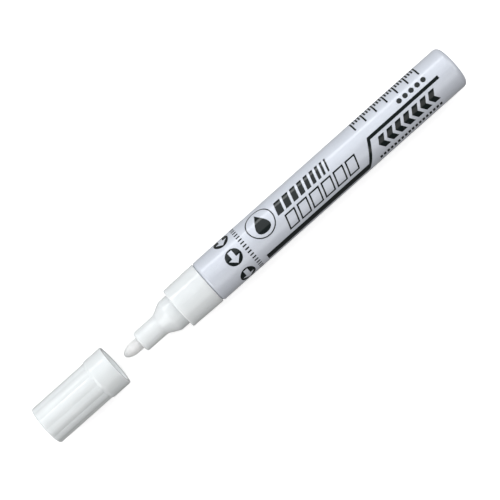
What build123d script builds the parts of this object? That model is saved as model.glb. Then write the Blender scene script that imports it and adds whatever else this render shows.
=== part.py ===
"""Valve-action paint marker lying on its side, with its cap pulled off in line in front of the nib.

Millimetres, +Z up. The marker's axis runs along X, the nib points to -X, and the origin is under
the middle of the whole length, on the surface that the barrel rests on.
"""

import os
from math import cos, pi, radians, sin, sqrt

from build123d import *

os.makedirs("parts", exist_ok=True)

# Barrel: drawn aluminium tube with a closed rear end and a rolled-in front shoulder
barrel_radius = 7.25
barrel_length = 98.4
barrel_wall = 0.45
barrel_end_wall = 0.8
shoulder_radius = 1.0
shoulder_break = 8.0
shoulder_land = 0.2
rear_corner_radius = 1.75

# Front section: collar, cap seat, flare and nib tube in one moulding, with a plug inside the barrel
collar_length = 11.8
collar_setback = 0.03
collar_draft = 0.2
collar_edge_radius = 0.35
collar_rear_edge_radius = 0.2
seat_length = 3.4
seat_draft = 0.05
flare_length = 3.8
flare_rise = 2.04
flare_base_radius = 2.0
flare_neck_radius = 2.4
tube_length = 8.1
tube_edge_share = 0.55
plug_wall = 1.85
plug_clearance = 0.05
plug_chamfer = 0.5
paint_chamber_gap = 1.1
paint_chamber_length = 7.0
vent_count = 4
vent_share = 0.21

# Gasket under the barrel's shoulder
gasket_length = 1.0
gasket_clearance = 0.03

# Nib: felt rod with a bullet point
nib_radius = 2.0
nib_exposed = 6.2
nib_rear_setback = 7.0
nib_point_length = 4.0
nib_rear_chamfer = 0.45
nib_clearance = 0.06
nib_travel = 1.8
nib_side_share = 0.45
nib_blunt_share = 0.55

# Valve behind the nib: seat, stem, seal, spring and retainer, in a line
valve_standoff = 2.2
valve_fit = 0.02
valve_seat_length = 4.2
valve_seat_bore = 1.9
seat_lip_height = 0.4
seat_lip_shares = (0.52, 0.68)
stem_pin_radius = 1.3
stem_head_share = 0.72
stem_head_length = 1.4
stem_boss_radius = 1.9
stem_boss_length = 3.0
stem_tail_radius = 1.1
stem_tail_overhang = 1.0
stem_tip_chamfer = 0.3
stem_contact_gap = 0.02
seal_length = 1.0
seal_share = 0.68
spring_wire_radius = 0.225
spring_length = 6.9
spring_turns = 5
spring_seat_gap = 0.03
spring_boss_gap = 0.35
retainer_length = 2.0
retainer_guide_clearance = 0.08
retainer_port_count = 6
retainer_port_radius = 0.75

# Mixing ball, loose in the barrel
ball_radius = 2.75
ball_clearance = 0.05
ball_place_share = 0.82

# Cap: fluted push-on cap with a plain mouth band, and an inner cap that closes round the nib tube
cap_clearance = 0.08
cap_band_step = 0.02
cap_band_wall = 1.42
cap_band_length = 6.5
cap_flute_setback = 0.3
cap_flute_slope = 0.95
cap_band_blend_radius = 0.6
cap_flute_count = 12
cap_flute_depth = 0.22
cap_crest_sink = 0.01
cap_flute_phase = 8.0
cap_corner_radius = 0.8
cap_end_wall = 1.4
cap_rim_radius = 0.15
cap_lead_in = 0.35
cap_inner_step = 0.25
cap_headroom = 3.9
cap_nib_gap = 3.9
liner_end_wall = 1.0
liner_wall_share = 0.45
liner_overlap_share = 0.68
liner_flange_length = 2.5
liner_fit = 0.03
liner_fin_count = 6
liner_fin_width = 0.8
liner_lead_in_share = 0.38

# Room that every cutting shape runs past what it cuts
cut_overrun = 1.0

# Radii from the barrel inwards
bore_radius = barrel_radius - barrel_wall
plug_radius = bore_radius - plug_clearance
chamber_radius = plug_radius - plug_wall
lip_radius = barrel_radius - shoulder_radius - shoulder_land
neck_radius = lip_radius - plug_clearance
collar_rear_radius = barrel_radius - collar_setback
collar_front_radius = collar_rear_radius - collar_draft
cap_band_radius = collar_front_radius + cap_band_step
cap_flute_radius = cap_band_radius - cap_flute_setback
cap_bore_radius = cap_band_radius - cap_band_wall
cap_inner_radius = cap_bore_radius - cap_inner_step
seat_radius = cap_bore_radius - cap_clearance
tube_radius = seat_radius - flare_rise
nib_bore_radius = nib_radius + nib_clearance
paint_chamber_radius = nib_radius + paint_chamber_gap
liner_bore_radius = tube_radius + cap_clearance
liner_radius = liner_bore_radius + (cap_inner_radius - liner_bore_radius) * liner_wall_share

# Places along the axis, from the barrel's rear end to the cap's closed end
nose_length = seat_length + flare_length + tube_length + nib_exposed
cap_length = nose_length + cap_headroom + liner_end_wall + cap_end_wall
overall_length = barrel_length + collar_length + nose_length + cap_nib_gap + cap_length
barrel_rear_x = overall_length / 2
seam_x = barrel_rear_x - barrel_length
collar_front_x = seam_x - collar_length
seat_front_x = collar_front_x - seat_length
flare_front_x = seat_front_x - flare_length
tube_front_x = flare_front_x - tube_length
nib_tip_x = tube_front_x - nib_exposed
nib_rear_x = seam_x - nib_rear_setback
valve_front_x = nib_rear_x + nib_travel + valve_standoff
valve_rear_x = valve_front_x + valve_seat_length
seal_front_x = valve_rear_x + stem_contact_gap
head_front_x = seal_front_x + seal_length
head_rear_x = head_front_x + stem_head_length
spring_front_x = head_rear_x + spring_seat_gap
spring_rear_x = spring_front_x + spring_length
retainer_front_x = spring_rear_x + spring_seat_gap
plug_rear_x = retainer_front_x + retainer_length
gasket_front_x = seam_x + barrel_wall + gasket_clearance
gasket_rear_x = seam_x + shoulder_radius + gasket_length
cap_mouth_x = nib_tip_x - cap_nib_gap
cap_closed_x = cap_mouth_x - cap_length
cap_travel = cap_nib_gap + nose_length

# The marker's own axis, and the plane through it that the turned profiles are drawn on
axis_height = barrel_radius
marker_axis = Axis((0, 0, axis_height), (1, 0, 0))
profile_plane = Plane(origin=(0, 0, axis_height), x_dir=(1, 0, 0), z_dir=(0, -1, 0))


def cross_plane(x):
    """Plane square to the marker's axis at x, facing the rear, with its own X along the part's Y."""
    return Plane(origin=(x, 0, axis_height), x_dir=(0, 1, 0), z_dir=(1, 0, 0))


# Barrel: the shoulder's roll breaks a few degrees from the straight wall
barrel_inner_end_x = barrel_rear_x - barrel_end_wall
shoulder_x = seam_x + shoulder_radius
shoulder_centre_radius = barrel_radius - shoulder_radius
roll_centre_radius = barrel_radius - shoulder_radius * cos(radians(shoulder_break))
roll_start_x = shoulder_x - shoulder_radius * sin(radians(shoulder_break))
inner_shoulder_radius = shoulder_radius - barrel_wall
inner_corner_radius = rear_corner_radius - barrel_wall
with BuildPart() as barrel:
    with BuildSketch(profile_plane):
        with BuildLine():
            Polyline(
                (barrel_inner_end_x, 0),
                (barrel_rear_x, 0),
                (barrel_rear_x, barrel_radius - rear_corner_radius),
            )
            CenterArc(
                (barrel_rear_x - rear_corner_radius, barrel_radius - rear_corner_radius),
                rear_corner_radius,
                0,
                90,
            )
            Line((barrel_rear_x - rear_corner_radius, barrel_radius), (roll_start_x, barrel_radius))
            CenterArc(
                (shoulder_x, roll_centre_radius),
                shoulder_radius,
                90 + shoulder_break,
                90 - shoulder_break,
            )
            Polyline(
                (seam_x, roll_centre_radius),
                (seam_x, lip_radius),
                (seam_x + barrel_wall, lip_radius),
                (seam_x + barrel_wall, shoulder_centre_radius),
            )
            CenterArc((shoulder_x, shoulder_centre_radius), inner_shoulder_radius, 180, -90)
            Line((shoulder_x, bore_radius), (barrel_inner_end_x - inner_corner_radius, bore_radius))
            CenterArc(
                (barrel_inner_end_x - inner_corner_radius, bore_radius - inner_corner_radius),
                inner_corner_radius,
                90,
                -90,
            )
            Line((barrel_inner_end_x, bore_radius - inner_corner_radius), (barrel_inner_end_x, 0))
        make_face()
    revolve(axis=marker_axis)
barrel.part.label = "barrel"
export_step(barrel.part, "parts/barrel.step")

# Front section: the outside is one turned outline from the nib tube to the plug
tube_wall = tube_radius - nib_bore_radius
tube_edge_radius = tube_wall * tube_edge_share
vent_radius = tube_wall * vent_share
with BuildPart() as front_section:
    with BuildSketch(profile_plane):
        with BuildLine():
            FilletPolyline(
                (tube_front_x, nib_bore_radius),
                (tube_front_x, tube_radius),
                (flare_front_x, tube_radius),
                (seat_front_x, seat_radius - seat_draft),
                (collar_front_x, seat_radius),
                radius=[tube_edge_radius, flare_neck_radius, flare_base_radius],
            )
            FilletPolyline(
                (collar_front_x, seat_radius),
                (collar_front_x, collar_front_radius),
                (seam_x, collar_rear_radius),
                (seam_x, neck_radius),
                radius=[collar_edge_radius, collar_rear_edge_radius],
            )
            Polyline(
                (seam_x, neck_radius),
                (gasket_rear_x, neck_radius),
                (gasket_rear_x, plug_radius),
                (plug_rear_x - plug_chamfer, plug_radius),
                (plug_rear_x, plug_radius - plug_chamfer),
                (plug_rear_x, chamber_radius),
                (valve_front_x, chamber_radius),
                (valve_front_x, paint_chamber_radius),
                (valve_front_x - paint_chamber_length, paint_chamber_radius),
                (valve_front_x - paint_chamber_length, nib_bore_radius),
                (tube_front_x, nib_bore_radius),
            )
        make_face()
    revolve(axis=marker_axis)
    # Air channels along the nib, from the paint chamber to the front of the tube
    with BuildSketch(cross_plane(tube_front_x - cut_overrun)):
        with PolarLocations(nib_bore_radius, vent_count):
            Circle(vent_radius)
    extrude(amount=valve_front_x - paint_chamber_length - tube_front_x + cut_overrun, mode=Mode.SUBTRACT)
front_section.part.label = "front_section"
export_step(front_section.part, "parts/front_section.step")

# Gasket: a moulded ring that fills the hollow of the rolled shoulder, in front of the plug
gasket_inner_radius = neck_radius + gasket_clearance
gasket_outer_radius = bore_radius - gasket_clearance
gasket_round_radius = inner_shoulder_radius - gasket_clearance
with BuildPart() as barrel_gasket:
    with BuildSketch(profile_plane):
        with BuildLine():
            Polyline(
                (gasket_front_x, shoulder_centre_radius),
                (gasket_front_x, gasket_inner_radius),
                (gasket_rear_x, gasket_inner_radius),
                (gasket_rear_x, gasket_outer_radius),
                (shoulder_x, gasket_outer_radius),
            )
            CenterArc((shoulder_x, shoulder_centre_radius), gasket_round_radius, 90, 90)
        make_face()
    revolve(axis=marker_axis)
barrel_gasket.part.label = "barrel_gasket"
export_step(barrel_gasket.part, "parts/barrel_gasket.step")

# Nib: the point is one smooth curve, square to the axis at the tip and in line with the rod's side
nib_point_x = nib_tip_x + nib_point_length
with BuildPart() as nib:
    with BuildSketch(profile_plane):
        with BuildLine():
            Bezier(
                (nib_tip_x, 0),
                (nib_tip_x, nib_radius * nib_blunt_share),
                (nib_tip_x + nib_point_length * nib_side_share, nib_radius),
                (nib_point_x, nib_radius),
            )
            Polyline(
                (nib_point_x, nib_radius),
                (nib_rear_x - nib_rear_chamfer, nib_radius),
                (nib_rear_x, nib_radius - nib_rear_chamfer),
                (nib_rear_x, 0),
                (nib_tip_x, 0),
            )
        make_face()
    revolve(axis=marker_axis)
nib.part.label = "nib"
export_step(nib.part, "parts/nib.step")

# Valve seat: a thick bush in the valve chamber, with a raised lip for the seal to close on
valve_seat_radius = chamber_radius - valve_fit
lip_inner_radius = valve_seat_radius * seat_lip_shares[0]
lip_outer_radius = valve_seat_radius * seat_lip_shares[1]
with BuildPart() as valve_seat:
    with BuildSketch(profile_plane):
        with BuildLine():
            Polyline(
                (valve_front_x, valve_seat_bore),
                (valve_front_x, valve_seat_radius),
                (valve_rear_x - seat_lip_height, valve_seat_radius),
                (valve_rear_x - seat_lip_height, lip_outer_radius),
                (valve_rear_x, lip_outer_radius),
                (valve_rear_x, lip_inner_radius),
                (valve_rear_x - seat_lip_height, valve_seat_bore),
                (valve_front_x, valve_seat_bore),
            )
        make_face()
    revolve(axis=marker_axis)
valve_seat.part.label = "valve_seat"
export_step(valve_seat.part, "parts/valve_seat.step")

# Valve stem: pin towards the nib, flat head, boss inside the spring and guided tail
stem_tip_x = nib_rear_x + stem_contact_gap
boss_rear_x = head_rear_x + stem_boss_length
stem_tail_x = plug_rear_x + stem_tail_overhang
stem_head_radius = chamber_radius * stem_head_share
with BuildPart() as valve_stem:
    with BuildSketch(profile_plane):
        with BuildLine():
            Polyline(
                (stem_tip_x, 0),
                (stem_tip_x, stem_pin_radius - stem_tip_chamfer),
                (stem_tip_x + stem_tip_chamfer, stem_pin_radius),
                (head_front_x, stem_pin_radius),
                (head_front_x, stem_head_radius),
                (head_rear_x, stem_head_radius),
                (head_rear_x, stem_boss_radius),
                (boss_rear_x, stem_boss_radius),
                (boss_rear_x, stem_tail_radius),
                (stem_tail_x - stem_tip_chamfer, stem_tail_radius),
                (stem_tail_x, stem_tail_radius - stem_tip_chamfer),
                (stem_tail_x, 0),
                (stem_tip_x, 0),
            )
        make_face()
    revolve(axis=marker_axis)
valve_stem.part.label = "valve_stem"
export_step(valve_stem.part, "parts/valve_stem.step")

# Stem seal: flat washer on the pin, against the head
with BuildPart() as stem_seal:
    with BuildSketch(cross_plane(seal_front_x)):
        Circle(chamber_radius * seal_share)
        Circle(stem_pin_radius + valve_fit, mode=Mode.SUBTRACT)
    extrude(amount=seal_length)
stem_seal.part.label = "stem_seal"
export_step(stem_seal.part, "parts/stem_seal.step")

# Valve spring: an open coil of round wire, each quarter turn as two arcs that meet in line
coil_radius = stem_boss_radius + spring_boss_gap + spring_wire_radius
coil_front_x = spring_front_x + spring_wire_radius
coil_rise = (spring_length - 2 * spring_wire_radius) / spring_turns
quarters = 4 * spring_turns


def coil_point(turns):
    """Point on the wire's centre line after this many turns."""
    angle = 2 * pi * turns
    return Vector(
        coil_front_x + coil_rise * turns,
        coil_radius * cos(angle),
        axis_height + coil_radius * sin(angle),
    )


def coil_direction(turns):
    """Direction of the wire after this many turns."""
    angle = 2 * pi * turns
    reach = 2 * pi * coil_radius
    return Vector(coil_rise, -reach * sin(angle), reach * cos(angle)).normalized()


def arc_corners(start, start_way, end, end_way):
    """Corners of the two tangent arcs that lead from start to end and meet half way between the corners."""
    span = end - start
    ways = start_way + end_way
    spread = 2 * (1 - start_way.dot(end_way))
    along = span.dot(ways)
    reach = (sqrt(along * along + spread * span.dot(span)) - along) / spread
    return start + start_way * reach, end - end_way * reach


with BuildPart() as valve_spring:
    with BuildLine() as coil_line:
        for quarter in range(quarters):
            turn_a = quarter / 4
            turn_b = (quarter + 1) / 4
            point_a = coil_point(turn_a)
            point_b = coil_point(turn_b)
            way_a = coil_direction(turn_a)
            corner_a, corner_b = arc_corners(point_a, way_a, point_b, coil_direction(turn_b))
            middle = (corner_a + corner_b) / 2
            TangentArc(point_a, middle, tangent=way_a)
            TangentArc(middle, point_b, tangent=corner_b - corner_a)
    with BuildSketch(Plane(origin=coil_point(0), z_dir=coil_direction(0))):
        Circle(spring_wire_radius)
    sweep(path=coil_line.wire())
valve_spring.part.label = "valve_spring"
export_step(valve_spring.part, "parts/valve_spring.step")
coil_steps = 48
coil_points = [coil_point(step / coil_steps) for step in range(coil_steps * spring_turns + 1)]
coil_gap = min(
    (coil_points[i] - coil_points[j]).length
    for i in range(len(coil_points))
    for j in range(i + coil_steps // 2, len(coil_points))
)
print(f"valve spring: least gap between turns {coil_gap - 2 * spring_wire_radius:.3f} mm")

# Spring retainer: ported disc at the rear of the plug, with a guide hole for the stem's tail
guide_radius = stem_tail_radius + retainer_guide_clearance
retainer_radius = chamber_radius - valve_fit
port_circle_radius = (guide_radius + retainer_radius) / 2
with BuildPart() as spring_retainer:
    with BuildSketch(cross_plane(retainer_front_x)):
        Circle(retainer_radius)
        Circle(guide_radius, mode=Mode.SUBTRACT)
        with PolarLocations(port_circle_radius, retainer_port_count):
            Circle(retainer_port_radius, mode=Mode.SUBTRACT)
    extrude(amount=retainer_length)
spring_retainer.part.label = "spring_retainer"
export_step(spring_retainer.part, "parts/spring_retainer.step")

# Mixing ball: lies at the bottom of the bore, between the plug and the closed end
ball_room_front_x = plug_rear_x + ball_radius + ball_clearance
ball_room_rear_x = barrel_inner_end_x - ball_radius - ball_clearance
ball_x = ball_room_front_x + (ball_room_rear_x - ball_room_front_x) * ball_place_share
ball_drop = bore_radius - ball_radius - ball_clearance
with BuildPart() as mixing_ball:
    with BuildSketch(Plane(origin=(ball_x, 0, axis_height - ball_drop), x_dir=(1, 0, 0), z_dir=(0, -1, 0))):
        with BuildLine():
            CenterArc((0, 0), ball_radius, 0, 180)
            Line((-ball_radius, 0), (ball_radius, 0))
        make_face()
    revolve(axis=Axis((ball_x, 0, axis_height - ball_drop), (1, 0, 0)))
mixing_ball.part.label = "mixing_ball"
export_step(mixing_ball.part, "parts/mixing_ball.step")

# Cap: turned blank with a closed end, then shallow flutes that run out on the slope up to the mouth band.
# The crests lie a hair under the blank: crests that only touch it can make the cut fail without a word.
band_front_x = cap_mouth_x - cap_band_length
flute_end_x = band_front_x - cap_flute_slope
cap_floor_x = cap_closed_x + cap_end_wall
cap_step_x = cap_mouth_x - seat_length - flare_length
flute_pitch = 360 / cap_flute_count
flute_valley_radius = cap_flute_radius - cap_flute_depth
crest_end_x = flute_end_x + cap_flute_slope * cap_flute_depth / (cap_flute_depth + cap_flute_setback)


def flute_point(radius, degrees):
    """Point on the cap's cross section, counted from the top towards -Y."""
    turn = (degrees + cap_flute_phase) * pi / 180
    return (-radius * sin(turn), radius * cos(turn))


with BuildPart() as flute_cutter:
    with BuildSketch(cross_plane(cap_closed_x - cut_overrun)):
        Circle(cap_band_radius + cut_overrun)
        with BuildLine():
            for flute in range(cap_flute_count):
                start = flute * flute_pitch
                ThreePointArc(
                    flute_point(flute_valley_radius, start),
                    flute_point(cap_flute_radius - cap_crest_sink, start + flute_pitch / 2),
                    flute_point(flute_valley_radius, start + flute_pitch),
                )
        make_face(mode=Mode.SUBTRACT)
    extrude(amount=band_front_x - cap_closed_x + cut_overrun)
    with BuildSketch(profile_plane):
        with BuildLine():
            Polyline(
                (flute_end_x, 0),
                (flute_end_x, flute_valley_radius),
                (band_front_x, cap_band_radius),
                (band_front_x, 0),
                close=True,
            )
        make_face()
    revolve(axis=marker_axis, mode=Mode.SUBTRACT)

with BuildPart() as cap:
    with BuildSketch(profile_plane):
        with BuildLine():
            FilletPolyline(
                (cap_closed_x, 0),
                (cap_closed_x, cap_flute_radius),
                (crest_end_x, cap_flute_radius),
                (band_front_x, cap_band_radius),
                (cap_mouth_x, cap_band_radius),
                (cap_mouth_x, cap_bore_radius + cap_lead_in),
                radius=[cap_corner_radius, cap_band_blend_radius, cap_band_blend_radius, cap_rim_radius],
            )
            Polyline(
                (cap_mouth_x, cap_bore_radius + cap_lead_in),
                (cap_mouth_x - cap_lead_in, cap_bore_radius),
                (cap_step_x, cap_bore_radius),
                (cap_step_x - cap_inner_step, cap_inner_radius),
                (cap_floor_x, cap_inner_radius),
                (cap_floor_x, 0),
                (cap_closed_x, 0),
            )
        make_face()
    revolve(axis=marker_axis)
    add(flute_cutter.part, mode=Mode.SUBTRACT)
cap.part.label = "cap"
export_step(cap.part, "parts/cap.step")

# Cap liner: inner cap with a flange at the closed end and fins that centre it in the cap
liner_mouth_x = tube_front_x + tube_length * liner_overlap_share - cap_travel
liner_flange_radius = cap_inner_radius - liner_fit
liner_flange_x = cap_floor_x + liner_flange_length
liner_lead_in = (liner_radius - liner_bore_radius) * liner_lead_in_share
with BuildPart() as cap_liner:
    with BuildSketch(profile_plane):
        with BuildLine():
            Polyline(
                (cap_floor_x, 0),
                (cap_floor_x, liner_flange_radius),
                (liner_flange_x, liner_flange_radius),
                (liner_flange_x, liner_radius),
                (liner_mouth_x, liner_radius),
                (liner_mouth_x, liner_bore_radius + liner_lead_in),
                (liner_mouth_x - liner_lead_in, liner_bore_radius),
                (cap_floor_x + liner_end_wall, liner_bore_radius),
                (cap_floor_x + liner_end_wall, 0),
                (cap_floor_x, 0),
            )
        make_face()
    revolve(axis=marker_axis)
    fin_height = liner_flange_radius - liner_bore_radius
    fin_length = (liner_mouth_x - liner_flange_x) / 2
    with BuildSketch(cross_plane(liner_flange_x)):
        with PolarLocations(liner_bore_radius + fin_height / 2, liner_fin_count):
            Rectangle(fin_height - 2 * liner_fit, liner_fin_width)
    extrude(amount=fin_length)
cap_liner.part.label = "cap_liner"
export_step(cap_liner.part, "parts/cap_liner.step")

print(f"cap travel {cap_travel:.3f}, ball at {ball_x:.3f} between {ball_room_front_x:.3f} and {ball_room_rear_x:.3f}")
print(f"seam at {seam_x:.3f}, plug rear at {plug_rear_x:.3f}, cap floor at {cap_floor_x:.3f}")
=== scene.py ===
"""Looks of a valve-action paint marker that lies on its side, with its cap pulled off in front of the nib.

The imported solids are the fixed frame: metres, +Z up, the marker's axis along X and the nib towards -X.
Each sub-assembly is a class that builds its own pieces and dresses the solids that it owns, and the
studio at the end adds the floor, the light and the camera.
"""

import logging
import math
from collections.abc import Iterator
from dataclasses import dataclass, replace
from enum import Enum

import bmesh
import bpy
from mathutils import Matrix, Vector, noise


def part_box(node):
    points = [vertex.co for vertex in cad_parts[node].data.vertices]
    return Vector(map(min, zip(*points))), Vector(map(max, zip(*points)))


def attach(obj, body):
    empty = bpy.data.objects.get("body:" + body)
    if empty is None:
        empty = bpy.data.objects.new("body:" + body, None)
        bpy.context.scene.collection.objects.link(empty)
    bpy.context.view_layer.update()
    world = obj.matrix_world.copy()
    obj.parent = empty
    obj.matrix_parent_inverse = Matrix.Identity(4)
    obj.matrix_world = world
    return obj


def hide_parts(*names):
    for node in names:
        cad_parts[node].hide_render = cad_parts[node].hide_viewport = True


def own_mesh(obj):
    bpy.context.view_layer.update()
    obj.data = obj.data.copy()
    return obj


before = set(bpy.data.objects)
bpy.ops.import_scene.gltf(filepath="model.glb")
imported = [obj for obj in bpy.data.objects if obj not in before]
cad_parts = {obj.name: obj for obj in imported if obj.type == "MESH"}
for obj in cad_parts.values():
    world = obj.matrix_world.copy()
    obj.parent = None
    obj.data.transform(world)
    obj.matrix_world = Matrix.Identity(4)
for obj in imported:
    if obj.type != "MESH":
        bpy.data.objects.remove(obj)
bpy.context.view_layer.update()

MM = 0.001
FULL_TURN = 360.0
UNIT = (0.0, 1.0)
SWING = (-1.0, 1.0)

Colour = tuple[float, float, float]
Span = tuple[float, float]
Point = tuple[float, float]
Loop = list[Point]
Socket = bpy.types.NodeSocket

log = logging.getLogger("paint_marker")


class Body(Enum):
    """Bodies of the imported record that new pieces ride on."""

    MARKER = "marker"
    NIB = "nib"


class Slot(Enum):
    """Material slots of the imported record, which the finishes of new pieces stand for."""

    LACQUER = "barrel_lacquer"
    FELT = "nib_felt"
    SPRING = "spring_steel"


class Kind(Enum):
    """Kinds of socket that the shared node groups have."""

    VALUE = "NodeSocketFloat"
    COLOUR = "NodeSocketColor"


class NodeSheet:
    """A node tree with short calls that add, set and link its nodes."""

    def __init__(self, tree: bpy.types.NodeTree) -> None:
        """Takes over the tree and empties it."""
        self.tree = tree
        self.tree.nodes.clear()

    def feed(self, socket: Socket, value: object) -> None:
        """Links a socket to another one, or sets its own value.

        Args:
            socket: The input to feed.
            value: An output socket to link, or a plain value to set.
        """
        if isinstance(value, Socket):
            self.tree.links.new(value, socket)
        else:
            socket.default_value = value

    def add(
        self, kind: str, inputs: dict[str | int, object] | None = None, **settings: object
    ) -> bpy.types.Node:
        """Adds a node.

        Args:
            kind: Blender's name of the node type.
            inputs: Values or output sockets for its inputs, by name or by place.
            **settings: Properties of the node, set before its inputs.

        Returns:
            The new node.
        """
        node = self.tree.nodes.new(kind)
        for name, value in settings.items():
            setattr(node, name, value)
        for key, value in (inputs or {}).items():
            if isinstance(key, str):
                socket = next(s for s in node.inputs if s.enabled and s.name == key)
            else:
                socket = node.inputs[key]
            self.feed(socket, value)
        return node

    def math(self, operation: str, *values: object) -> Socket:
        """Adds a Math node with its operands, as numbers or output sockets, and gives its result."""
        return self.add("ShaderNodeMath", dict(enumerate(values)), operation=operation).outputs[0]

    def spread(self, value: Socket, source: Span, target: Span) -> Socket:
        """Maps a value from one range to another, clamped.

        Args:
            value: The value's socket.
            source: The range that it comes in.
            target: The range that it goes out in.

        Returns:
            The mapped value's socket.
        """
        inputs = {
            "Value": value,
            "From Min": source[0],
            "From Max": source[1],
            "To Min": target[0],
            "To Max": target[1],
        }
        return self.add("ShaderNodeMapRange", inputs).outputs["Result"]

    def group(self, tree: bpy.types.NodeTree, values: dict[str, object]) -> Socket:
        """Places a shared group with its input values, by name, and gives its only output."""
        return self.add("ShaderNodeGroup", values, node_tree=tree).outputs[0]

    def place(self) -> Socket:
        """Gives the place on the piece, in metres along the frame's axes."""
        return self.add("ShaderNodeTexCoord").outputs["Object"]

    def stretch(self, place: Socket, along: Socket, across: Socket) -> Socket:
        """Scales a place along the marker's axis and across it."""
        scale = self.add("ShaderNodeCombineXYZ", {"X": along, "Y": across, "Z": across}).outputs[0]
        return self.add("ShaderNodeVectorMath", {0: place, 1: scale}, operation="MULTIPLY").outputs[0]

    def cloud(self, place: Socket, scale: Socket | float, detail: float) -> Socket:
        """Gives a noise value at a place, with its patches per unit of length and its finer layers."""
        inputs = {"Vector": place, "Scale": scale, "Detail": detail}
        return self.add("ShaderNodeTexNoise", inputs).outputs[0]

    def shade(self, colour: Socket, value: Socket) -> Socket:
        """Makes a colour lighter or darker, where a value of 1 leaves it as it is."""
        return self.add("ShaderNodeHueSaturation", {"Color": colour, "Value": value}).outputs[0]


class GroupSheet(NodeSheet):
    """The inside of a new shader node group with one output."""

    def __init__(self, name: str, inputs: dict[str, Kind], output: dict[str, Kind]) -> None:
        """Makes the group and its sockets.

        Args:
            name: The group's name.
            inputs: Kinds of its inputs, by name.
            output: Kind of its output, by name.
        """
        super().__init__(bpy.data.node_groups.new(name, "ShaderNodeTree"))
        for side, sockets in (("INPUT", inputs), ("OUTPUT", output)):
            for socket, kind in sockets.items():
                self.tree.interface.new_socket(name=socket, in_out=side, socket_type=kind.value)
        self.given = self.add("NodeGroupInput").outputs
        self.taken = self.add("NodeGroupOutput").inputs

    def close(self, value: Socket) -> bpy.types.NodeTree:
        """Feeds the group's output, and gives the finished group."""
        self.feed(self.taken[0], value)
        return self.tree


class Effects:
    """Shader node groups that several finishes share. Each is built once. The slant is in radians."""

    NOISE_SPAN = (0.3, 0.7)
    MOTTLE_DETAIL = 4.0
    STREAK_DETAIL = 3.0
    DRIFT_DETAIL = 3.0
    SCUFF_DETAIL = 2.0
    SCUFF_SLANT = 0.6
    SCUFF_SLENDERNESS = 14.0
    SCUFF_LINE_SPAN = (0.62, 0.72)
    SCUFF_PATCH_SPAN = (0.45, 0.65)
    SCUFF_PATCHES_PER_METRE = 90.0

    def __init__(self) -> None:
        """Builds every group."""
        self.mottle = self._mottle()
        self.streaks = self._streaks()
        self.scuffs = self._scuffs()
        self.tone_drift = self._tone_drift()

    def _mottle(self) -> bpy.types.NodeTree:
        """Even speckle of a given size, as on moulded or sprayed surfaces.

        Returns:
            The group.
        """
        sheet = GroupSheet("mottle", {"Size": Kind.VALUE}, {"Mottle": Kind.VALUE})
        scale = sheet.math("DIVIDE", 1.0, sheet.given["Size"])
        speckle = sheet.cloud(sheet.place(), scale, self.MOTTLE_DETAIL)
        return sheet.close(sheet.spread(speckle, self.NOISE_SPAN, UNIT))

    def _streaks(self) -> bpy.types.NodeTree:
        """Streaks along the marker's axis: draw lines in metal, fibres in felt.

        Returns:
            The group.
        """
        inputs = {"Length": Kind.VALUE, "Width": Kind.VALUE}
        sheet = GroupSheet("lengthwise_streaks", inputs, {"Streaks": Kind.VALUE})
        along = sheet.math("DIVIDE", 1.0, sheet.given["Length"])
        across = sheet.math("DIVIDE", 1.0, sheet.given["Width"])
        lines = sheet.cloud(sheet.stretch(sheet.place(), along, across), 1.0, self.STREAK_DETAIL)
        return sheet.close(sheet.spread(lines, self.NOISE_SPAN, UNIT))

    def _scuffs(self) -> bpy.types.NodeTree:
        """Sparse fine rub marks, slanted to the axis, where hands and desks have dulled the surface.

        Returns:
            The group.
        """
        inputs = {"Length": Kind.VALUE, "Cover": Kind.VALUE}
        sheet = GroupSheet("handling_scuffs", inputs, {"Scuffs": Kind.VALUE})
        place = sheet.place()
        slant = {"Vector": place, "Angle": self.SCUFF_SLANT}
        turned = sheet.add("ShaderNodeVectorRotate", slant, rotation_type="Z_AXIS").outputs[0]
        along = sheet.math("DIVIDE", 1.0, sheet.given["Length"])
        across = sheet.math("MULTIPLY", along, self.SCUFF_SLENDERNESS)
        lines = sheet.cloud(sheet.stretch(turned, along, across), 1.0, self.SCUFF_DETAIL)
        patches = sheet.cloud(place, self.SCUFF_PATCHES_PER_METRE, self.SCUFF_DETAIL)
        mark = sheet.spread(lines, self.SCUFF_LINE_SPAN, UNIT)
        where = sheet.spread(patches, self.SCUFF_PATCH_SPAN, UNIT)
        marks = sheet.math("MULTIPLY", mark, where)
        return sheet.close(sheet.math("MULTIPLY", marks, sheet.given["Cover"]))

    def _tone_drift(self) -> bpy.types.NodeTree:
        """Slow drift of a colour's lightness from place to place.

        Returns:
            The group.
        """
        inputs = {"Colour": Kind.COLOUR, "Patch": Kind.VALUE, "Amount": Kind.VALUE}
        sheet = GroupSheet("tone_drift", inputs, {"Colour": Kind.COLOUR})
        scale = sheet.math("DIVIDE", 1.0, sheet.given["Patch"])
        patches = sheet.cloud(sheet.place(), scale, self.DRIFT_DETAIL)
        swing = sheet.spread(patches, self.NOISE_SPAN, SWING)
        value = sheet.math("MULTIPLY_ADD", swing, sheet.given["Amount"], 1.0)
        return sheet.close(sheet.shade(sheet.given["Colour"], value))


def new_material(
    name: str, values: dict[str, object]
) -> tuple[bpy.types.Material, NodeSheet, bpy.types.Node]:
    """Makes a material with one shader.

    Args:
        name: The material's name.
        values: The shader's own values, by socket name.

    Returns:
        The material, its nodes and its shader.
    """
    made = bpy.data.materials.new(name)
    made.use_nodes = True
    sheet = NodeSheet(made.node_tree)
    shader = sheet.add("ShaderNodeBsdfPrincipled", values)
    sheet.add("ShaderNodeOutputMaterial", {"Surface": shader.outputs[0]})
    return made, sheet, shader


@dataclass(frozen=True)
class ColourMix:
    """What a finish mixes its colour from, inside one material."""

    sheet: NodeSheet
    shader: bpy.types.Node
    drift: Socket
    grain: Socket
    streaks: Socket


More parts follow.
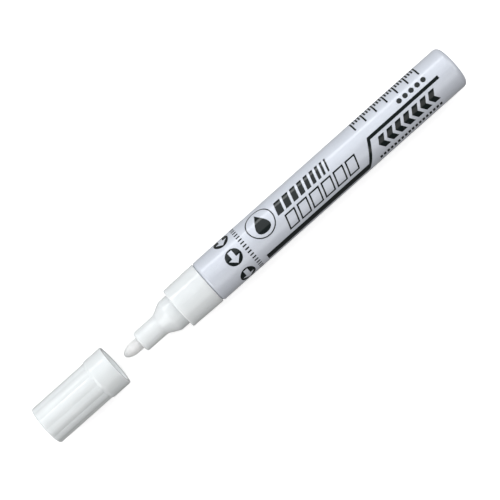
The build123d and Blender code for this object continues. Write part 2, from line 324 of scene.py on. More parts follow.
@dataclass(frozen=True)
class Finish:
    """A surface finish with its colour, its gloss and the fine relief that shows close up.

    Lengths are in metres. Roughness runs from the glossiest to the dullest spot of the mottle.
    """

    name: str
    colour: Colour
    roughness: Span
    tone_drift: float = 0.02
    patch: float = 7 * MM
    grain: float = 0.2 * MM
    grain_depth: float = 0.002 * MM
    streak_length: float = 6 * MM
    streak_width: float = 0.12 * MM
    streak_depth: float = 0.0
    scuff_length: float = 2.5 * MM
    scuff_cover: float = 0.3
    scuff_roughness: float = 0.12
    metallic: float = 0.0
    coat: float = 0.0
    coat_roughness: float = 0.05
    sheen: float = 0.0
    ior: float = 1.5
    glow_depth: float = 0.0

    def material(self, effects: Effects) -> bpy.types.Material:
        """Gives the finish as a material, which pieces of the same finish share."""
        return bpy.data.materials.get(self.name) or self._build(effects)

    def _values(self) -> dict[str, object]:
        """Lists what is the same all over the surface.

        Returns:
            The shader's own values, by socket name.
        """
        values = {
            "Metallic": self.metallic,
            "IOR": self.ior,
            "Coat Weight": self.coat,
            "Coat Roughness": self.coat_roughness,
            "Sheen Weight": self.sheen,
        }
        if self.glow_depth:
            values["Subsurface Weight"] = 1.0
            values["Subsurface Radius"] = (1.0, 1.0, 1.0)
            values["Subsurface Scale"] = self.glow_depth
        return values

    def _build(self, effects: Effects) -> bpy.types.Material:
        """Builds the finish as a node material.

        Args:
            effects: The shared node groups.

        Returns:
            The new material.
        """
        made, sheet, shader = new_material(self.name, self._values())
        grain = sheet.group(effects.mottle, {"Size": self.grain})
        lines = {"Length": self.streak_length, "Width": self.streak_width}
        streaks = sheet.group(effects.streaks, lines)
        rubs = {"Length": self.scuff_length, "Cover": self.scuff_cover}
        scuffs = sheet.group(effects.scuffs, rubs)
        tone = {"Colour": (*self.colour, 1.0), "Patch": self.patch, "Amount": self.tone_drift}
        drift = sheet.group(effects.tone_drift, tone)
        self._colour(ColourMix(sheet, shader, drift, grain, streaks))
        gloss = sheet.spread(grain, UNIT, self.roughness)
        gloss = sheet.math("MULTIPLY_ADD", scuffs, self.scuff_roughness, gloss)
        sheet.feed(shader.inputs["Roughness"], gloss)
        height = sheet.math("MULTIPLY", grain, self.grain_depth)
        height = sheet.math("MULTIPLY_ADD", streaks, self.streak_depth, height)
        bump = sheet.add("ShaderNodeBump", {"Height": height, "Distance": 1.0, "Strength": 1.0})
        sheet.feed(shader.inputs["Normal"], bump.outputs[0])
        return made

    def _colour(self, mix: ColourMix) -> None:
        """Feeds the base colour."""
        mix.sheet.feed(mix.shader.inputs["Base Color"], mix.drift)


@dataclass(frozen=True)
class FlakeFinish(Finish):
    """Silver lacquer: fine metal flakes in a tinted binder, under a clear coat."""

    flake: float = 0.06 * MM
    flake_contrast: float = 0.06

    def _colour(self, mix: ColourMix) -> None:
        """Feeds the base colour, with each flake a little lighter or darker.

        Args:
            mix: What the colour is mixed from.
        """
        sheet = mix.sheet
        cells = sheet.add("ShaderNodeTexVoronoi", {"Vector": sheet.place(), "Scale": 1 / self.flake})
        tilt = sheet.add("ShaderNodeSeparateColor", {"Color": cells.outputs["Color"]}).outputs[0]
        value = sheet.spread(tilt, UNIT, (1 - self.flake_contrast, 1 + self.flake_contrast))
        sheet.feed(mix.shader.inputs["Base Color"], sheet.shade(mix.drift, value))


@dataclass(frozen=True)
class FibreFinish(Finish):
    """Bonded fibre: strands along the axis, darker between them."""

    gap_shade: float = 0.84
    grain_share: float = 0.35
    strand_span: Span = (0.1, 0.8)

    def _colour(self, mix: ColourMix) -> None:
        """Feeds the base colour, shaded between the strands.

        Args:
            mix: What the colour is mixed from.
        """
        sheet = mix.sheet
        strand = sheet.math("MULTIPLY_ADD", mix.grain, self.grain_share, mix.streaks)
        value = sheet.spread(strand, self.strand_span, (self.gap_shade, 1.0))
        sheet.feed(mix.shader.inputs["Base Color"], sheet.shade(mix.drift, value))


@dataclass(frozen=True)
class BoredFinish(Finish):
    """Moulded plastic with a bore along the marker's axis, whose inner surface has a painted glow: an
    emission that stands in for light let through its thin wall.
    """

    bore: float = 5.7 * MM
    axis_height: float = 0.0
    # Strength of the painted glow, an emission on the bore's inner surface.
    painted_bore_glow: float = 0.2

    def _colour(self, mix: ColourMix) -> None:
        """Feeds the base colour, and a painted glow on the bore's inner surface: emission that stands in
        for light through the wall.

        Args:
            mix: What the colour is mixed from.
        """
        super()._colour(mix)
        sheet = mix.sheet
        spot = sheet.add("ShaderNodeSeparateXYZ", {"Vector": sheet.place()}).outputs
        rise = sheet.math("SUBTRACT", spot["Z"], self.axis_height)
        square = sheet.math("MULTIPLY_ADD", spot["Y"], spot["Y"], sheet.math("MULTIPLY", rise, rise))
        # Painted glow: the bore's inner surface emits its own colour, standing in for light through the
        # wall.
        inside = sheet.math("LESS_THAN", sheet.math("SQRT", square), self.bore)
        sheet.feed(mix.shader.inputs["Emission Color"], sheet.shade(mix.drift, inside))
        mix.shader.inputs["Emission Strength"].default_value = self.painted_bore_glow


SILVER_LACQUER = FlakeFinish(
    name="silver_lacquer",
    colour=(0.615, 0.642, 0.706),
    roughness=(0.40, 0.48),
    grain=0.9 * MM,
    grain_depth=0.0015 * MM,
    streak_depth=0.0003 * MM,
    metallic=0.1,
    coat=0.75,
    coat_roughness=0.06,
    ior=1.35,
)
PRINT_INK = Finish(
    name="print_ink",
    colour=(0.003, 0.007, 0.007),
    roughness=(0.30, 0.45),
    tone_drift=0.25,
    patch=0.5 * MM,
    grain_depth=0.001 * MM,
    coat=0.8,
    coat_roughness=0.09,
    ior=1.0,
)
SECTION_PLASTIC = Finish(
    name="section_white",
    colour=(0.77, 0.79, 0.797),
    roughness=(0.07, 0.12),
    grain_depth=0.001 * MM,
    glow_depth=1.8 * MM,
)
CAP_PLASTIC = BoredFinish(
    name="cap_white",
    colour=(0.765, 0.785, 0.791),
    roughness=(0.07, 0.12),
    grain_depth=0.001 * MM,
    glow_depth=0.8 * MM,
)
LINER_PLASTIC = Finish(
    name="liner_natural", colour=(0.70, 0.71, 0.69), roughness=(0.35, 0.5), grain=0.1 * MM
)
FELT = FibreFinish(
    name="nib_felt_white",
    colour=(0.86, 0.85, 0.845),
    roughness=(0.8, 0.95),
    tone_drift=0.14,
    patch=0.4 * MM,
    grain=0.07 * MM,
    grain_depth=0.012 * MM,
    streak_length=0.9 * MM,
    streak_width=0.09 * MM,
    streak_depth=0.02 * MM,
    scuff_cover=0.0,
    sheen=0.3,
    glow_depth=3.6 * MM,
)
VALVE_PLASTIC = Finish(name="valve_acetal", colour=(0.58, 0.62, 0.60), roughness=(0.28, 0.4))
SEAL_RUBBER = Finish(
    name="seal_rubber_black",
    colour=(0.028, 0.028, 0.030),
    roughness=(0.55, 0.75),
    tone_drift=0.15,
    grain=0.08 * MM,
    grain_depth=0.004 * MM,
)
SPRING_STEEL = Finish(
    name="spring_wire",
    colour=(0.56, 0.55, 0.53),
    roughness=(0.18, 0.34),
    tone_drift=0.06,
    patch=1.5 * MM,
    grain=0.1 * MM,
    streak_length=1.2 * MM,
    streak_width=0.03 * MM,
    streak_depth=0.002 * MM,
    metallic=1.0,
)
BALL_STEEL = Finish(
    name="ball_polished",
    colour=(0.62, 0.62, 0.63),
    roughness=(0.06, 0.16),
    tone_drift=0.04,
    patch=1.2 * MM,
    grain=0.3 * MM,
    grain_depth=0.0005 * MM,
    scuff_length=0.8 * MM,
    scuff_cover=0.8,
    metallic=1.0,
)


def dress(node: str, material: bpy.types.Material) -> None:
    """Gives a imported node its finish, in its only slot."""
    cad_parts[node].material_slots[0].material = material
    log.info("%s dressed in %s", node, material.name)


def add_piece(
    name: str, mesh: bpy.types.Mesh, body: Body, slot: Slot, material: bpy.types.Material
) -> bpy.types.Object:
    """Adds a new piece to the marker.

    Args:
        name: The piece's name.
        mesh: Its mesh, in place.
        body: The body that it rides on.
        slot: The record's slot that its finish stands for; not used.
        material: Its material.

    Returns:
        The new object.
    """
    piece = bpy.data.objects.new(name, mesh)
    bpy.context.scene.collection.objects.link(piece)
    mesh.materials.append(material)
    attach(piece, body.value)
    log.info("%s rides on %s in %s", name, body.value, material.name)
    return piece


def add_line(curve: bpy.types.Curve, points: list[tuple[float, float, float]], closed: bool) -> None:
    """Adds a line of straight runs to a curve.

    Args:
        curve: The curve.
        points: The line's points.
        closed: Whether its end joins its start.
    """
    spline = curve.splines.new("POLY")
    spline.points.add(len(points) - 1)
    for point, place in zip(spline.points, points):
        point.co = (*place, 1)
    spline.use_cyclic_u = closed


def curve_mesh(curve: bpy.types.Curve) -> bpy.types.Mesh:
    """Turns a curve into a mesh, and removes the curve.

    Args:
        curve: The curve.

    Returns:
        The mesh.
    """
    holder = bpy.data.objects.new(curve.name, curve)
    mesh = bpy.data.meshes.new_from_object(holder)
    bpy.data.objects.remove(holder)
    bpy.data.curves.remove(curve)
    return mesh


def keep_mesh(made: bmesh.types.BMesh, name: str) -> bpy.types.Mesh:
    """Turns an edited mesh into a kept one, and frees it.

    Args:
        made: The edited mesh.
        name: The kept mesh's name.

    Returns:
        The kept mesh.
    """
    mesh = bpy.data.meshes.new(name)
    made.to_mesh(mesh)
    made.free()
    return mesh


def turns_of(steps: int) -> list[float]:
    """Even turns round a full circle, in radians."""
    return [math.tau * step / steps for step in range(steps)]


def spaced(reach: Span, count: int) -> list[float]:
    """Even places from one end of a reach to the other."""
    return [reach[0] + (reach[1] - reach[0]) * step / (count - 1) for step in range(count)]


def round_places(girth: float, count: int, start_share: float = -0.5) -> list[float]:
    """Even places round the barrel, from half a turn before its top line."""
    return [girth * (place / count + start_share) for place in range(count)]


def circle(centre: Point, radius: float, steps: int = 64) -> Loop:
    """Outlines a circle with a number of points."""
    along, across = centre
    return [(along + radius * math.cos(turn), across + radius * math.sin(turn)) for turn in turns_of(steps)]


def drop(centre: Point, width: float, height: float, steps: int = 48) -> Loop:
    """Outlines a falling drop with its tip up.

    Args:
        centre: The middle of its height.
        width: Its greatest width, nearly.
        height: Its height.
        steps: How many points it has.

    Returns:
        The outline.
    """
    turns = turns_of(steps)
    widths = [math.sin(turn) * math.sin(turn / 2) ** 2 for turn in turns]
    broadest = 2 * max(widths)
    return [
        (centre[0] + width * share / broadest, centre[1] - height / 2 * math.cos(turn))
        for turn, share in zip(turns, widths)
    ]


def slanted_box(along: Span, across: Span, slant: float = 0.0) -> Loop:
    """Outlines a box whose upper edge leads its lower edge.

    Args:
        along: Where its lower edge begins and ends.
        across: Where its upper and lower edges are.
        slant: Lead of the upper edge as a share of the box's height.

    Returns:
        The outline.
    """
    lead = slant * (across[1] - across[0])
    return [
        (along[0] + lead, across[0]),
        (along[1] + lead, across[0]),
        (along[1], across[1]),
        (along[0], across[1]),
    ]


def box_frame(along: Span, across: Span, slant: float, line: float) -> list[Loop]:
    """Outlines a slanted box drawn as a line of even width.

    Args:
        along: Where its lower edge begins and ends.
        across: Where its upper and lower edges are.
        slant: Lead of the upper edge as a share of the box's height.
        line: Width of the drawn line.

    Returns:
        The outer and the inner outline.
    """
    side = line * math.hypot(1, slant)
    lead = slant * line
    inner_along = (along[0] + side + lead, along[1] - side + lead)
    inner_across = (across[0] + line, across[1] - line)
    return [slanted_box(along, across, slant), slanted_box(inner_along, inner_across, slant)]


@dataclass(frozen=True)
class InkPress:
    """Lays flat artwork round the barrel as a thin closed film of ink.

    The artwork is in millimetres on the unrolled barrel, and so are strip and merge: along counts from
    the seam to the rear, and across counts from the top line towards -Y. Other lengths are in metres.
    """

    seam: float
    radius: float
    axis_height: float
    proud: float = 0.012 * MM
    sunk: float = 0.008 * MM
    strip: float = 0.15
    merge: float = 0.002

    def _place(self, along: float, across: float, lift: float) -> Vector:
        """Finds a point of the artwork on the barrel.

        Args:
            along: Its place along the artwork.
            across: Its place across the artwork.
            lift: Its height over the barrel's surface, in metres.

        Returns:
            The point.
        """
        turn = across * MM / self.radius
        reach = self.radius + lift
        return Vector(
            (self.seam + along * MM, -reach * math.sin(turn), self.axis_height + reach * math.cos(turn))
        )

    def _fill(self, loops: list[Loop]) -> bmesh.types.BMesh:
        """Fills outlines, with the inner ones as holes.

        Args:
            loops: The closed outlines.

        Returns:
            The filled flat mesh. It faces down, because going round the barrel turns it over.
        """
        flat = bpy.data.curves.new("artwork", "CURVE")
        flat.dimensions = "2D"
        flat.fill_mode = "BOTH"
        for loop in loops:
            add_line(flat, [(along, across, 0.0) for along, across in loop], closed=True)
        filled = curve_mesh(flat)
        made = bmesh.new()
        made.from_mesh(filled)
        bpy.data.meshes.remove(filled)
        bmesh.ops.remove_doubles(made, verts=made.verts, dist=self.merge)
        made.normal_update()
        bmesh.ops.reverse_faces(made, faces=[face for face in made.faces if face.normal.z > 0])
        return made

    def _cut(self, film: bmesh.types.BMesh, reach: list[float]) -> None:
        """Cuts a flat film into strips, narrow enough to go round the barrel.

        Args:
            film: The film.
            reach: How far across each of its points lies.
        """
        for cut in range(math.ceil(min(reach) / self.strip), math.ceil(max(reach) / self.strip)):
            whole = film.verts[:] + film.edges[:] + film.faces[:]
            line = (0, cut * self.strip, 0)
            bmesh.ops.bisect_plane(film, geom=whole, dist=self.merge, plane_co=line, plane_no=(0, 1, 0))
        bmesh.ops.dissolve_degenerate(film, dist=self.merge, edges=film.edges)

    def lay(self, name: str, loops: list[Loop]) -> bpy.types.Mesh:
        """Lays artwork on the barrel.

        Args:
            name: The mesh's name.
            loops: Its closed outlines.

        Returns:
            The film as a closed mesh, smooth but for the rim of its upper face.
        """
        film = self._fill(loops)
        self._cut(film, [across for loop in loops for _, across in loop])
        grown = bmesh.ops.extrude_face_region(film, geom=film.faces[:], use_keep_orig=True)
        upper = {part for part in grown["geom"] if isinstance(part, bmesh.types.BMVert)}
        upper_faces = {part for part in grown["geom"] if isinstance(part, bmesh.types.BMFace)}
        for vert in film.verts:
            vert.co = self._place(vert.co.x, vert.co.y, self.proud if vert in upper else -self.sunk)
        for face in film.faces:
            face.smooth = True
        for edge in film.edges:
            edge.smooth = len({face in upper_faces for face in edge.link_faces}) == 1
        return keep_mesh(film, name)


@dataclass
class Barrel:
    """Lacquered aluminium barrel and the gasket under its rolled-in shoulder."""

    lacquer: Finish = SILVER_LACQUER
    rubber: Finish = SEAL_RUBBER

    def build(self, effects: Effects) -> None:
        """Dresses the barrel and its gasket."""
        dress("barrel", self.lacquer.material(effects))
        dress("barrel_gasket", self.rubber.material(effects))


@dataclass
class BarrelPrint:
    """Ink print round the barrel: turning arrows, a kinked stripe and plain marks.

    Lengths are in millimetres on the unrolled barrel, as the ink press takes them, and the turn of the
    discs is in degrees. The arrow's head and the drop have a width and a length.
    """

    ink: Finish = PRINT_INK
    slant: float = 0.3

    disc_along: float = 11.0
    disc_radius: float = 2.72
    disc_count: int = 6
    disc_turn: float = -3.6
    arrow_length: float = 4.3
    arrow_shaft: float = 1.55
    arrow_head: Span = (4.2, 1.95)

    tick_along: Span = (15.0, 16.4)
    tick_width: float = 0.45
    tick_count: int = 40

    ring_centre: Point = (23.5, -3.0)
    ring_radius: float = 4.85
    ring_line: float = 0.36
    drop_size: Span = (5.0, 7.0)

    bars_across: Span = (-4.95, -0.8)
    bars_along: float = 29.0
    bar_widths: Span = (2.4, 0.62)
    bar_gap: float = 0.85
    bar_count: int = 9

    frames_across: Span = (0.2, 5.1)
    frames_along: float = 29.0
    frame_width: float = 3.9
    frame_gap: float = 0.85
    frame_line: float = 0.48
    frame_count: int = 6

    stripe_along: tuple[float, float, float] = (18.7, 63.9, 91.9)
    stripe_low: Span = (6.35, 8.9)
    stripe_high: Span = (-0.72, 0.34)
    stripe_lean: float = 0.61
    stripe_stroke: float = 1.17

    chevrons_across: Span = (1.3, 5.5)
    chevrons_along: float = 65.4
    chevron_stroke: float = 2.15
    chevron_reach: float = 1.3
    chevron_pitch: float = 3.3
    chevron_count: int = 7

    scale_across: Span = (-11.0, -7.4)
    scale_along: Span = (62.9, 88.0)
    scale_tick: float = 0.55
    scale_long: float = 2.5
    scale_count: int = 25
    scale_group: int = 4

    dots_across: float = -2.6
    dots_along: Span = (78.5, 88.0)
    dot_radius: float = 0.85
    dot_count: int = 5

    dashes_across: Span = (7.15, 8.45)
    dashes_along: Span = (63.6, 88.0)
    dash_length: float = 0.85
    dash_gap: float = 0.55

    def _arrow(self, along: float, across: float) -> Loop:
        """Outlines an arrow that points round the barrel.

        Args:
            along: Place of its middle along the barrel.
            across: Place of its middle round the barrel.

        Returns:
            The outline.
        """
        width, head = self.arrow_head
        half = self.arrow_shaft / 2
        tail = across - self.arrow_length / 2
        tip = across + self.arrow_length / 2
        neck = tip - head
        return [
            (along - half, tail),
            (along + half, tail),
            (along + half, neck),
            (along + width / 2, neck),
            (along, tip),
            (along - width / 2, neck),
            (along - half, neck),
        ]

    def _arrow_ring(self, girth: float) -> Iterator[Loop]:
        """Discs round the barrel, each with an arrow left open in it.

        Args:
            girth: The barrel's circumference.

        Yields:
            The outlines.
        """
        start = girth * self.disc_turn / FULL_TURN
        for place in round_places(girth, self.disc_count):
            yield circle((self.disc_along, start + place), self.disc_radius)
            yield self._arrow(self.disc_along, start + place)

    def _tick_ring(self, girth: float) -> Iterator[Loop]:
        """Yields the outlines of short ticks round the barrel, whose circumference is the girth."""
        for across in round_places(girth, self.tick_count):
            yield slanted_box(self.tick_along, (across, across + self.tick_width))

    def _drop_ring(self) -> Iterator[Loop]:
        """A ring with a paint drop in it.

        Yields:
            The outlines.
        """
        yield circle(self.ring_centre, self.ring_radius)
        yield circle(self.ring_centre, self.ring_radius - self.ring_line)
        yield drop(self.ring_centre, *self.drop_size)

    def _bars(self) -> Iterator[Loop]:
        """Slanted bars that thin out towards the rear.

        Yields:
            The outlines.
        """
        along = self.bars_along
        for width in spaced(self.bar_widths, self.bar_count):
            yield slanted_box((along, along + width), self.bars_across, self.slant)
            along += width + self.bar_gap

    def _frames(self) -> Iterator[Loop]:
        """Slanted boxes in outline, in a row.

        Yields:
            The outlines.
        """
        for place in range(self.frame_count):
            along = self.frames_along + place * (self.frame_width + self.frame_gap)
            reach = (along, along + self.frame_width)
            yield from box_frame(reach, self.frames_across, self.slant, self.frame_line)

    def _stripe(self) -> Iterator[Loop]:
        """A broad low run and a narrow high run, joined by a slanted one.

        Yields:
            The outline.
        """
        start, bend, end = self.stripe_along
        low, high = self.stripe_low, self.stripe_high

        def slanted(across: float) -> float:
            """Place of the slanted run's front edge."""
            return bend - self.stripe_lean * (across - high[0])

        yield [
            (start, low[0]),
            (slanted(low[0]), low[0]),
            (bend, high[0]),
            (end, high[0]),
            (end, high[1]),
            (slanted(high[1]) + self.stripe_stroke, high[1]),
            (slanted(low[1]) + self.stripe_stroke, low[1]),
            (start, low[1]),
        ]

    def _chevrons(self) -> Iterator[Loop]:
        """Bold chevrons that point to the nib.

        Yields:
            The outlines.
        """
        upper, lower = self.chevrons_across
        middle = (upper + lower) / 2
        for place in range(self.chevron_count):
            tip = self.chevrons_along + place * self.chevron_pitch
            wing = tip + self.chevron_reach
            yield [
                (wing, upper),
                (wing + self.chevron_stroke, upper),
                (tip + self.chevron_stroke, middle),
                (wing + self.chevron_stroke, lower),
                (wing, lower),
                (tip, middle),
            ]

    def _scale(self) -> Iterator[Loop]:
        """A scale of even ticks, with a longer one at the start of each group.

        Yields:
            The outlines.
        """
        far, near = self.scale_across
        for tick, along in enumerate(spaced(self.scale_along, self.scale_count)):
            reach = near if tick % self.scale_group else near + self.scale_long
            yield slanted_box((along, along + self.scale_tick), (far, reach))

    def _dots(self) -> Iterator[Loop]:
        """Yields the outlines of a row of dots."""
        for along in spaced(self.dots_along, self.dot_count):
            yield circle((along, self.dots_across), self.dot_radius)

    def _dashes(self) -> Iterator[Loop]:
        """A dashed line along the barrel.

        Yields:
            The outlines.
        """
        along, end = self.dashes_along
        while along < end:
            yield slanted_box((along, along + self.dash_length), self.dashes_across)
            along += self.dash_length + self.dash_gap

    def build(self, effects: Effects) -> None:
        """Prints every motif on the barrel.

        Args:
            effects: The shared node groups.
        """
        low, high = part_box("barrel")
        radius = (high.z - low.z) / 2
        press = InkPress(low.x, radius, low.z + radius)
        girth = math.tau * radius / MM
        motifs = {
            "print_arrow_ring": self._arrow_ring(girth),
            "print_tick_ring": self._tick_ring(girth),
            "print_drop_ring": self._drop_ring(),
            "print_slanted_bars": self._bars(),
            "print_outlined_boxes": self._frames(),
            "print_stripe": self._stripe(),
            "print_chevrons": self._chevrons(),
            "print_scale": self._scale(),
            "print_dots": self._dots(),
            "print_dashes": self._dashes(),
        }
        ink = self.ink.material(effects)
        for name, loops in motifs.items():
            add_piece(name, press.lay(name, list(loops)), Body.MARKER, Slot.LACQUER, ink)


@dataclass
class FrontSection:
    """White moulding with the collar, the cap seat, the flare and the nib tube."""

    plastic: Finish = SECTION_PLASTIC

    def build(self, effects: Effects) -> None:
        """Dresses the front section."""
        dress("front_section", self.plastic.material(effects))


@dataclass
class FeltNib:
    """Bullet-shaped felt nib, turned with its strands standing a little proud of each other.

    The point is a cubic curve: blunt_share says how broadly it leaves the tip, and side_share how far
    back it turns into the rod's side. Lengths are in metres.
    """

    felt: Finish = FELT
    point_length: float = 4.0 * MM
    side_share: float = 0.45
    blunt_share: float = 0.55
    exposed: float = 8.5 * MM
    rear_chamfer: float = 0.45 * MM
    strand_depth: float = 0.05 * MM
    strand_width: float = 0.24 * MM
    strand_length: float = 1.1 * MM
    least_share: float = 0.5
    point_rings: int = 44
    side_rings: int = 30
    sides: int = 224

    def _profile(self, tip: float, rear: float, radius: float) -> list[Point]:
        """Places and radii of the nib's rings.

        Args:
            tip: Place of the tip along the axis.
            rear: Place of the rear end.
            radius: The rod's radius.

        Returns:
            Place and radius of each ring, from the tip to the rear, without the two end points.
        """
        rings = []
        for step in range(1, self.point_rings + 1):
            late = step / self.point_rings
            early = 1 - late
            # The weights of the curve's last three points. Its first point is the tip.
            blunt = 3 * early * early * late
            side = 3 * early * late * late
            end = late ** 3
            along = self.point_length * (side * self.side_share + end)
            out = radius * (blunt * self.blunt_share + side + end)
            rings.append((tip + along, out))
        start = tip + self.point_length
        for step in range(1, self.side_rings + 1):
            rings.append((start + (self.exposed - self.point_length) * step / self.side_rings, radius))
        rings.append((rear - self.rear_chamfer, radius))
        rings.append((rear, radius - self.rear_chamfer))
        return rings

    def _strand(self, along: float, turn: float, out: float) -> float:
        """Finds how deep the felt's surface lies below its full radius.

        Args:
            along: The point's place along the axis.
            turn: Its turn round the axis, in radians.
            out: The full radius there.

        Returns:
            The depth.
        """
        fibre = Vector(
            (
                along / self.strand_length,
                out * math.cos(turn) / self.strand_width,
                out * math.sin(turn) / self.strand_width,
            )
        )
        return self.strand_depth * (1 + noise.noise(fibre)) / 2

    def _turn(self) -> bpy.types.Mesh:
        """Turns the nib where its plain solid lies.

        Returns:
            The nib as a closed mesh.
        """
        low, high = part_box("nib")
        radius = (high.z - low.z) / 2
        height = (high.z + low.z) / 2
        turns = turns_of(self.sides)
        turned = bmesh.new()
        rows = []
        for along, out in self._profile(low.x, high.x, radius):
            row = []
            for turn in turns:
                reach = max(out - self._strand(along, turn, out), out * self.least_share)
                spot = (along, reach * math.cos(turn), height + reach * math.sin(turn))
                row.append(turned.verts.new(spot))
            rows.append(row)
        for front, back in zip(rows, rows[1:]):
            for side in range(self.sides):
                after = (side + 1) % self.sides
                turned.faces.new((front[side], front[after], back[after], back[side]))
        for row, along in ((rows[0], low.x), (rows[-1], high.x)):
            middle = turned.verts.new((along, 0, height))
            for side in range(self.sides):
                turned.faces.new((middle, row[side], row[(side + 1) % self.sides]))
        bmesh.ops.recalc_face_normals(turned, faces=turned.faces)
        for face in turned.faces:
            face.smooth = True
        return keep_mesh(turned, "felt_nib")

    def build(self, effects: Effects) -> None:
        """Puts the turned nib in place of its plain solid."""
        nib = add_piece("felt_nib", self._turn(), Body.NIB, Slot.FELT, self.felt.material(effects))
        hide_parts("nib")


@dataclass
class ValveTrain:
    """Valve behind the nib: seat, stem, seal, spring and retainer.

    The wire's size is its radius, in metres.
    """

    plastic: Finish = VALVE_PLASTIC
    rubber: Finish = SEAL_RUBBER
    steel: Finish = SPRING_STEEL
    wire: float = 0.225 * MM
    wire_rounding: int = 4
    turns: int = 5
    steps: int = 28

    def _coil(self) -> bpy.types.Mesh:
        """Winds the spring where its plain solid lies.

        Returns:
            The spring as a closed mesh.
        """
        low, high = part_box("valve_spring")
        coil = (high.y - low.y) / 2 - self.wire
        height = (low.z + high.z) / 2
        last = self.turns * self.steps
        points = []
        for step in range(last + 1):
            turn = math.tau * step / self.steps
            along = low.x + self.wire + (high.x - low.x - 2 * self.wire) * step / last
            points.append((along, coil * math.cos(turn), height + coil * math.sin(turn)))
        line = bpy.data.curves.new("coil", "CURVE")
        line.dimensions = "3D"
        line.bevel_depth = self.wire
        line.bevel_resolution = self.wire_rounding
        line.use_fill_caps = True
        add_line(line, points, closed=False)
        mesh = curve_mesh(line)
        mesh.name = "coil_spring"
        return mesh

    def build(self, effects: Effects) -> None:
        """Dresses the valve and winds its spring at one length, though the real one shortens as the nib is
        pressed.

        Args:
            effects: The shared node groups.
        """
        plastic = self.plastic.material(effects)
        for node in ("valve_seat", "valve_stem", "spring_retainer"):
            dress(node, plastic)
        dress("stem_seal", self.rubber.material(effects))
        steel = self.steel.material(effects)
        spring = add_piece("coil_spring", self._coil(), Body.MARKER, Slot.SPRING, steel)
        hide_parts("valve_spring")
        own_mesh(spring)


@dataclass
class MixingBall:
    """Steel ball that stirs the paint."""

    steel: Finish = BALL_STEEL

    def build(self, effects: Effects) -> None:
        """Dresses the ball."""
        dress("mixing_ball", self.steel.material(effects))


@dataclass
class Cap:
    """Fluted cap and its inner liner."""

    plastic: BoredFinish = CAP_PLASTIC
    liner: Finish = LINER_PLASTIC

    def build(self, effects: Effects) -> None:
        """Dresses the cap, whose finish has to know the height of its bore, and its liner.

        Args:
            effects: The shared node groups.
        """
        low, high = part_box("cap")
        plastic = replace(self.plastic, axis_height=(low.z + high.z) / 2)
        dress("cap", plastic.material(effects))
        dress("cap_liner", self.liner.material(effects))


@dataclass(frozen=True)
class Softbox:
    """A soft rectangular light that faces the marker.

    Bearing counts from +X towards +Y and elevation from the horizon, in degrees. Lengths are in metres
    and power is in watts.
    """

    name: str
    bearing: float
    elevation: float
    distance: float
    size: Span
    power: float
    colour: Colour = (1.0, 1.0, 1.0)

    def build(self, target: Vector) -> None:
        """Hangs the light, out of the camera's sight.

        Args:
            target: The point that it faces.
        """
        lamp = bpy.data.lights.new(self.name, "AREA")
        lamp.shape = "RECTANGLE"
        lamp.size, lamp.size_y = self.size
        lamp.energy = self.power
        lamp.color = self.colour
        rise = math.radians(self.elevation)
        turn = math.radians(self.bearing)
        way = Vector((math.cos(turn) * math.cos(rise), math.sin(turn) * math.cos(rise), math.sin(rise)))
        holder = bpy.data.objects.new(self.name, lamp)
        holder.location = target + way * self.distance
        holder.rotation_mode = "QUATERNION"
        holder.rotation_quaternion = (-way).to_track_quat("-Z", "Y")
        holder.visible_camera = False
        bpy.context.scene.collection.objects.link(holder)


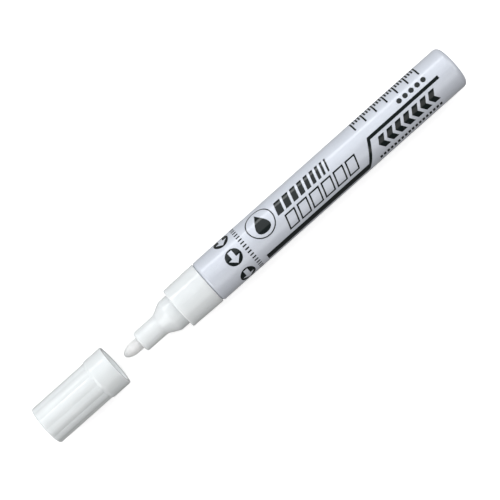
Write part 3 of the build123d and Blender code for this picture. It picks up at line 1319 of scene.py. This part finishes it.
@dataclass
class Studio:
    """Pale floor, soft light and a camera that looks straight down.

    Lengths are in metres, the view's turn is in degrees, and the sensor is in millimetres.
    """

    camera_distance: float = 0.55
    near_share: float = 0.01
    view_width: float = 150.26 * MM
    view_centre: Point = (-0.68 * MM, -1.14 * MM)
    view_turn: float = -41.65
    sensor: float = 36.0
    floor_side: float = 6.0
    floor_drop: float = 0.05 * MM
    floor_colour: Colour = (0.95, 0.95, 0.95)
    floor_glow: float = 0.45
    window_colour: Colour = (0.38, 0.38, 0.38)
    far_colour: Colour = (0.15, 0.15, 0.15)
    backdrop_colour: Colour = (0.95, 0.95, 0.95)
    softboxes: tuple[Softbox, ...] = (
        Softbox(
            "side_strip", bearing=90.0, elevation=28.0, distance=0.9,
            size=(1.5, 0.18), power=3.8, colour=(0.96, 0.99, 1.0),
        ),
        Softbox(
            "side_box", bearing=90.0, elevation=56.0, distance=1.2,
            size=(1.5, 0.9), power=3.9, colour=(0.95, 0.99, 1.02),
        ),
        Softbox("rear_box", bearing=0.0, elevation=36.0, distance=1.3, size=(1.2, 0.9), power=5.6),
        Softbox("front_box", bearing=180.0, elevation=36.0, distance=1.3, size=(1.2, 0.9), power=9.0),
        Softbox(
            "far_fill", bearing=270.0, elevation=48.0, distance=1.2,
            size=(1.5, 0.5), power=2.5, colour=(1.0, 0.99, 0.97),
        ),
    )

    def build(self) -> None:
        """Sets up the floor, the light and the camera."""
        low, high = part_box("barrel")
        axis_height = (low.z + high.z) / 2
        middle = Vector((*self.view_centre, axis_height))
        self._floor()
        self._room()
        for softbox in self.softboxes:
            softbox.build(middle)
        self._camera(middle)
        bpy.context.scene.view_settings.view_transform = "Standard"

    def _floor(self) -> None:
        """Lays the floor just under the barrel."""
        values = {
            "Base Color": (*self.floor_colour, 1.0),
            "Roughness": 1.0,
            "Specular IOR Level": 0.0,
            "Emission Color": (*self.floor_colour, 1.0),
            "Emission Strength": self.floor_glow,
        }
        paper, _, _ = new_material("pale_floor", values)
        half = self.floor_side / 2
        sides = ((-half, -half), (half, -half), (half, half), (-half, half))
        mesh = bpy.data.meshes.new("floor")
        mesh.from_pydata([(x, y, -self.floor_drop) for x, y in sides], [], [(0, 1, 2, 3)])
        mesh.materials.append(paper)
        floor = bpy.data.objects.new("floor", mesh)
        floor.visible_diffuse = False
        floor.visible_glossy = False
        bpy.context.scene.collection.objects.link(floor)

    def _room(self) -> None:
        """Gives the room a light that fades away from the window, and a pale backdrop for the camera."""
        world = bpy.data.worlds.new("studio_room")
        world.use_nodes = True
        sheet = NodeSheet(world.node_tree)
        way = sheet.add("ShaderNodeTexCoord").outputs["Generated"]
        side = sheet.add("ShaderNodeSeparateXYZ", {"Vector": way}).outputs["Y"]
        share = sheet.spread(side, SWING, UNIT)
        room = self._blend(sheet, share, (*self.far_colour, 1.0), (*self.window_colour, 1.0))
        seen = sheet.add("ShaderNodeLightPath").outputs["Is Camera Ray"]
        tint = self._blend(sheet, seen, room, (*self.backdrop_colour, 1.0))
        glow = sheet.add("ShaderNodeBackground", {"Color": tint, "Strength": 1.0})
        sheet.add("ShaderNodeOutputWorld", {"Surface": glow.outputs[0]})
        bpy.context.scene.world = world

    @staticmethod
    def _blend(sheet: NodeSheet, share: Socket, first: object, second: object) -> Socket:
        """Mixes two colours, each a socket or a value, by the share of the second one."""
        mix = sheet.add("ShaderNodeMix", {"Factor": share, "A": first, "B": second}, data_type="RGBA")
        return next(socket for socket in mix.outputs if socket.enabled)

    def _camera(self, middle: Vector) -> None:
        """Hangs the camera straight above the marker.

        Args:
            middle: The point at the middle of the picture, at the height of the marker's axis.
        """
        lens = bpy.data.cameras.new("camera")
        lens.sensor_width = self.sensor
        lens.lens = self.sensor * self.camera_distance / self.view_width
        lens.clip_start = self.camera_distance * self.near_share
        holder = bpy.data.objects.new("camera", lens)
        holder.location = middle + Vector((0, 0, self.camera_distance))
        holder.rotation_euler = (0, 0, math.radians(self.view_turn))
        bpy.context.scene.collection.objects.link(holder)
        bpy.context.scene.camera = holder


def main() -> None:
    """Builds every sub-assembly in order, then the studio."""
    logging.basicConfig(level=logging.INFO, format="%(name)s: %(message)s")
    effects = Effects()
    for part in (Barrel(), BarrelPrint(), FrontSection(), FeltNib(), ValveTrain(), MixingBall(), Cap()):
        part.build(effects)
        log.info("%s is built", type(part).__name__)
    Studio().build()


if __name__ == "__main__":
    main()
